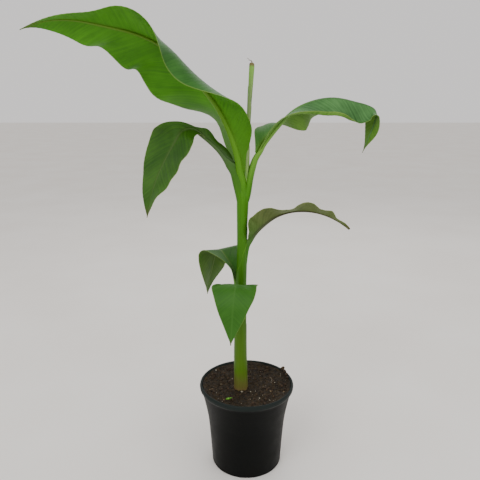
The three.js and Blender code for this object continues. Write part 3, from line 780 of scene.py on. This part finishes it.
def makeStalk(leaf, midrib):
    # one tapering limb: the stalk, then the midrib under the blade, with a channel along its upper side
    total = leaf["stalk"] + leaf["blade"]
    stalkShare = leaf["stalk"] / total
    rows, sides, rootRows = 220, 32, 16
    t = np.linspace(0, 0.995, rows)
    s = np.clip((t - stalkShare) / (1 - stalkShare), 0, 1)
    onStalk = t < stalkShare
    radius = np.where(onStalk, smoothAlong(leaf["thick"], t / stalkShare) / 2, ribRadius(leaf, s))
    leftSlope = np.radians(smoothAlong(leaf["left"]["fold"], s))
    rightSlope = np.radians(smoothAlong(leaf["right"]["fold"], s))
    lean = (rightSlope - leftSlope) / 2 * smoothStep(s / 0.05)   # the rib faces between its two half blades
    left, upper = onMidrib(midrib, "left", t), onMidrib(midrib, "upper", t)
    upTurned = np.cos(lean)[:, None] * upper + np.sin(lean)[:, None] * left
    leftTurned = np.cos(lean)[:, None] * left - np.sin(lean)[:, None] * upper
    sink = 0.62 * smoothStep((t - stalkShare + 0.03) / 0.06)   # under the blade the rib sinks below it
    centre = onMidrib(midrib, "point", t) - upTurned * (radius * sink)[:, None]
    angle = np.linspace(0, 2 * np.pi, sides, endpoint=False)
    x, y = np.cos(angle), np.sin(angle)
    channel = 0.55 * np.exp(-(x / 0.42) ** 2) * (y > 0)
    y = y * np.where(y > 0, 0.85, 1) - channel * 0.8
    # its root: the limb runs on down inside the sheaths, ever thinner, so that no blunt end shows
    depth = np.linspace(1, 0, rootRows, endpoint=False)
    root = stemCentre(leaf["foot"] - stem["rootDepth"] * depth)
    root = root + (centre[0] - stemCentre(leaf["foot"])) * (1 - depth[:, None])
    centre = np.vstack([root, centre])
    radius = np.concatenate([radius[0] * (1 - 0.65 * depth), radius])[:, None, None]
    upTurned, leftTurned = (np.vstack([np.repeat(v[:1], rootRows, 0), v])[:, None, :]
                            for v in (upTurned, leftTurned))
    lengthAlong = np.concatenate([-stem["rootDepth"] * depth, t * total])
    rimRun = smoothAlong(leaf["gutter"], t / stalkShare) * (1 - smoothStep(s / 0.12))
    rimHeight = np.concatenate([0 * depth, rimRun])
    # the stalk takes the first 0.2 of the place along the limb
    alongLimb = np.concatenate([0 * depth, np.where(onStalk, 0.2 * t / stalkShare, 0.2 + 0.8 * s)])
    section = x[None, :, None] * leftTurned + y[None, :, None] * upTurned
    points = centre[:, None, :] + radius * section
    # the stalk's rims stand up either side of its channel and pass into the blade
    rims = smoothStep((np.abs(x) - 0.3) / 0.35) * (y > 0.05)
    points = points + (rimHeight[:, None] * rims[None, :])[..., None] * upTurned
    uv = np.stack(np.broadcast_arrays(angle[None, :] * 4, lengthAlong[:, None]), -1).reshape(-1, 2) * mm
    faces = cappedFaces(rows + rootRows, sides, flip=True)
    return makeMesh(leaf["name"] + "Stalk", points.reshape(-1, 3), faces, [stalkSkin(leaf)], uv=uv,
                    attributes={"alongLimb": np.repeat(alongLimb, sides)}, sharp=60)


for leaf in leaves:
    midrib = traceMidrib(leaf["foot"], leaf["offset"], leaf["heading"], leaf["pitch"],
                         leaf["stalk"] + leaf["blade"])
    lamina = makeBlade(leaf, midrib)
    stalk = makeStalk(leaf, midrib)
    for piece in (lamina, stalk):
        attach(piece, "root")
    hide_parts(leaf["cad"] + "_blade_inner", leaf["cad"] + "_blade_outer")
    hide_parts(leaf["cad"] + "_stalk")
    print("leaf:", leaf["name"], len(lamina.data.polygons) + len(stalk.data.polygons), "faces")


rolled = {
    "foot": 497, "offset": 5.2, "heading": 25, "pitch": [88, 88.3, 86.6, 86], "length": 213,
    "diameter": [9, 8.4, 7, 6.6, 7.6, 8.2], "wrapEvery": 62, "wrapStep": 0.13, "rounding": 0.015,
    "rows": 300, "sides": 40, "endRows": 12, "dryFrom": 0.965,
    # wrap: painted shade in the step under the edge of each wrap
    "green": "#5f7a42", "pale": "#7e9559", "fresh": "#74a83a", "wrap": "#4f7a3c", "dry": "#6a5c30",
    "threadShade": "#6b4c2a",
}

# the dry thread at the rolled leaf's tip, curled over to one side, and its thickness from root to end
thread = {
    "bends": [(0, 0, 0), (-0.3, 0, 2.2), (-2.4, -0.3, 4.2),
              (-4.2, -0.2, 3.6), (-4.8, 0, 5.6), (-7.6, 0.2, 7.4)],
    "radius": (0.75, 0.25), "rows": 26, "sides": 10,
}


def rolledSkin():
    # a blade still rolled on itself: pale, unweathered, with painted shade in a darker line under the edge
    # of each wrap, and a dry tip
    material, add, shader = newMaterial("rolledYoungLeaf", {"IOR": 1.45, "Roughness": 0.45})
    # streaks along it, about 2 mm wide and 80 mm long
    place = add("UVMap", uv_map="surfacePlace")
    stretched = add("Mapping", {"Vector": place, "Scale": (grainScale(2), grainScale(83.33), 1)})
    streaks = add("TexNoise", {"Vector": stretched, "Scale": 1, "Detail": 3})
    base = add("ValToRGB", {"Fac": streaks}, stops=[(0.35, rolled["green"]), (0.65, rolled["pale"])])
    # fresher green by the fork and again near the tip
    height = add("Attribute", attribute_name="alongRoll").outputs["Fac"]
    freshShare = add("ValToRGB",
                     {"Fac": height}, stops=[(0.12, 0.85), (0.32, 0.0), (0.76, 0.0), (0.93, 0.85)])
    mixed = add("Mix", {0: freshShare, 6: base, 7: toLinear(rolled["fresh"])}, data_type="RGBA")
    # painted shade: a darker line where each wrap's edge overhangs the turn below it
    wrap = add("Attribute", attribute_name="wrapLine").outputs["Fac"]
    wrapShaded = add("Mix", {0: wrap, 6: mixed, 7: toLinear(rolled["wrap"])}, data_type="RGBA")
    dry = add("Attribute", attribute_name="dryTip").outputs["Fac"]
    tipped = add("Mix", {0: dry, 6: wrapShaded, 7: toLinear(rolled["dry"])}, data_type="RGBA")
    bump = add("Bump", {"Height": streaks, "Distance": 0.3 * mm, "Strength": 0.35})
    setInputs(shader, {"Base Color": tipped, "Normal": bump})
    return material


def makeRolled(midrib):
    rows, sides, rounding = rolled["rows"], rolled["sides"], rolled["rounding"]
    roundFrom = 1 - rounding
    ending = np.sin(np.linspace(0.13, 1.45, rolled["endRows"]))
    t = np.concatenate([np.linspace(0, roundFrom, rows - len(ending)), roundFrom + rounding * ending])
    angle = np.linspace(0, 2 * np.pi, sides, endpoint=False)
    turn = (angle[None, :] / (2 * np.pi) + t[:, None] * rolled["length"] / rolled["wrapEvery"]) % 1.0
    radius = smoothAlong(rolled["diameter"], t)[:, None] / 2
    radius = radius * (1 - rolled["wrapStep"] * 0.5 + rolled["wrapStep"] * smoothStep(turn * 1.06))
    closing = ((t - roundFrom) / (rounding + 0.0001)).clip(0, 1)   # rounds the end off
    radius = radius * np.sqrt(np.clip(1 - closing ** 2, 0.02, 1))[:, None]
    left, upper, point = (onMidrib(midrib, key, t)[:, None, :] for key in ("left", "upper", "point"))
    section = np.cos(angle)[None, :, None] * left + np.sin(angle)[None, :, None] * upper
    points = point + radius[..., None] * section
    # the painted shade line lies just inside the step, under the edge of the wrap above it
    wrapLine = np.exp(-((turn - 0.02) / 0.035) ** 2) + np.exp(-((turn - 1.02) / 0.035) ** 2)
    dryTip = smoothStep((t - rolled["dryFrom"]) / 0.02)
    lengthAlong = t[:, None] * rolled["length"]
    uv = np.stack(np.broadcast_arrays(angle[None, :] * 3.5, lengthAlong), -1).reshape(-1, 2) * mm
    shares = {"wrapLine": wrapLine.ravel() * 0.75, "dryTip": np.repeat(dryTip, sides),
              "alongRoll": np.repeat(t, sides)}
    return makeMesh("rolledLeaf", points.reshape(-1, 3), cappedFaces(rows, sides, flip=True),
                    [rolledSkin()], uv=uv, attributes=shares, sharp=50)


def makeThread(midrib):
    rows, sides = thread["rows"], thread["sides"]
    tip = onMidrib(midrib, "point", np.array([0.995]))[0]
    bends = np.array(thread["bends"])
    places = tip + np.stack([smoothAlong(bends[:, k], np.linspace(0, 1, rows)) for k in range(3)], -1)
    ring = np.linspace(0, 2 * np.pi, sides, endpoint=False)
    radius = np.linspace(*thread["radius"], rows)[:, None, None]
    section = np.stack([np.cos(ring), np.sin(ring), 0.6 * np.cos(ring)], -1)
    points = places[:, None, :] + radius * section[None]
    driedLeaf = plainBit("driedLeafTip", rolled["threadShade"], rolled["dry"], 0.8)
    return makeMesh("rolledLeafTip", points.reshape(-1, 3), cappedFaces(rows, sides), [driedLeaf], sharp=60)


rolledMidrib = traceMidrib(rolled["foot"], rolled["offset"], [rolled["heading"]], rolled["pitch"],
                           rolled["length"])
rolledLeaf = makeRolled(rolledMidrib)
rolledTip = makeThread(rolledMidrib)
for piece in (rolledLeaf, rolledTip):
    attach(piece, "root")
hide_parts("rolled_leaf")
print("rolled leaf:", len(rolledLeaf.data.polygons), "faces")


# places and sizes in metres, powers in watts, lens and sensor in mm
studio = {
    "floorSize": 30, "floor": "#e9e5df", "floorLight": "#eeebe6", "sky": "#f3f0ef", "skyStrength": 1.02,
    "target": (0, 0, 0.4),
    "lamps": [
        ("keyLight", (-0.9, -1.5, 1.9), 1.1, 20),
        ("fillLight", (1.4, -1.1, 1.3), 1.4, 8),
        ("backLight", (0.3, 1.5, 1.9), 1.4, 12),
    ],
    "camera": (-0.012, -0.873, 0.654), "tiltDown": 14.8, "lens": 39.9, "sensor": 36,
}


def matteFloorPaint():
    # emulsion, rolled on: flat and pale, with hardly any mottle, about 330 mm across
    material, add, shader = newMaterial("matteFloorPaint", {"Roughness": 0.85})
    place = add("TexCoord").outputs["Object"]
    mottle = add("TexNoise", {"Vector": place, "Scale": grainScale(333.3), "Detail": 2})
    tone = add("ValToRGB", {"Fac": mottle}, stops=[(0.3, studio["floor"]), (0.7, studio["floorLight"])])
    setInputs(shader, {"Base Color": tone})
    return material


def makeFloor():
    bpy.ops.mesh.primitive_plane_add(size=studio["floorSize"], location=(0, 0, 0))
    floor = bpy.context.object
    floor.name = "studioFloor"
    floor.data.materials.append(matteFloorPaint())


def makeLights():
    target = Vector(studio["target"])
    for name, place, size, power in studio["lamps"]:
        data = bpy.data.lights.new(name, "AREA")
        data.size, data.energy = size, power
        lamp = bpy.data.objects.new(name, data)
        lamp.location = place
        lamp.rotation_euler = (target - lamp.location).to_track_quat("-Z", "Y").to_euler()
        bpy.context.scene.collection.objects.link(lamp)
    world = bpy.data.worlds.new("studioSky")
    world.use_nodes = True
    background = world.node_tree.nodes["Background"]
    background.inputs[0].default_value = toLinear(studio["sky"])
    background.inputs[1].default_value = studio["skyStrength"]
    bpy.context.scene.world = world


def makeCamera():
    data = bpy.data.cameras.new("studioCamera")
    data.lens, data.sensor_width = studio["lens"], studio["sensor"]
    data.clip_start, data.clip_end = 0.01, 60
    camera = bpy.data.objects.new("studioCamera", data)
    camera.location = studio["camera"]
    camera.rotation_euler = (math.radians(90 - studio["tiltDown"]), 0, 0)
    bpy.context.scene.collection.objects.link(camera)
    bpy.context.scene.camera = camera


makeFloor()
makeLights()
makeCamera()
print("studio ready")
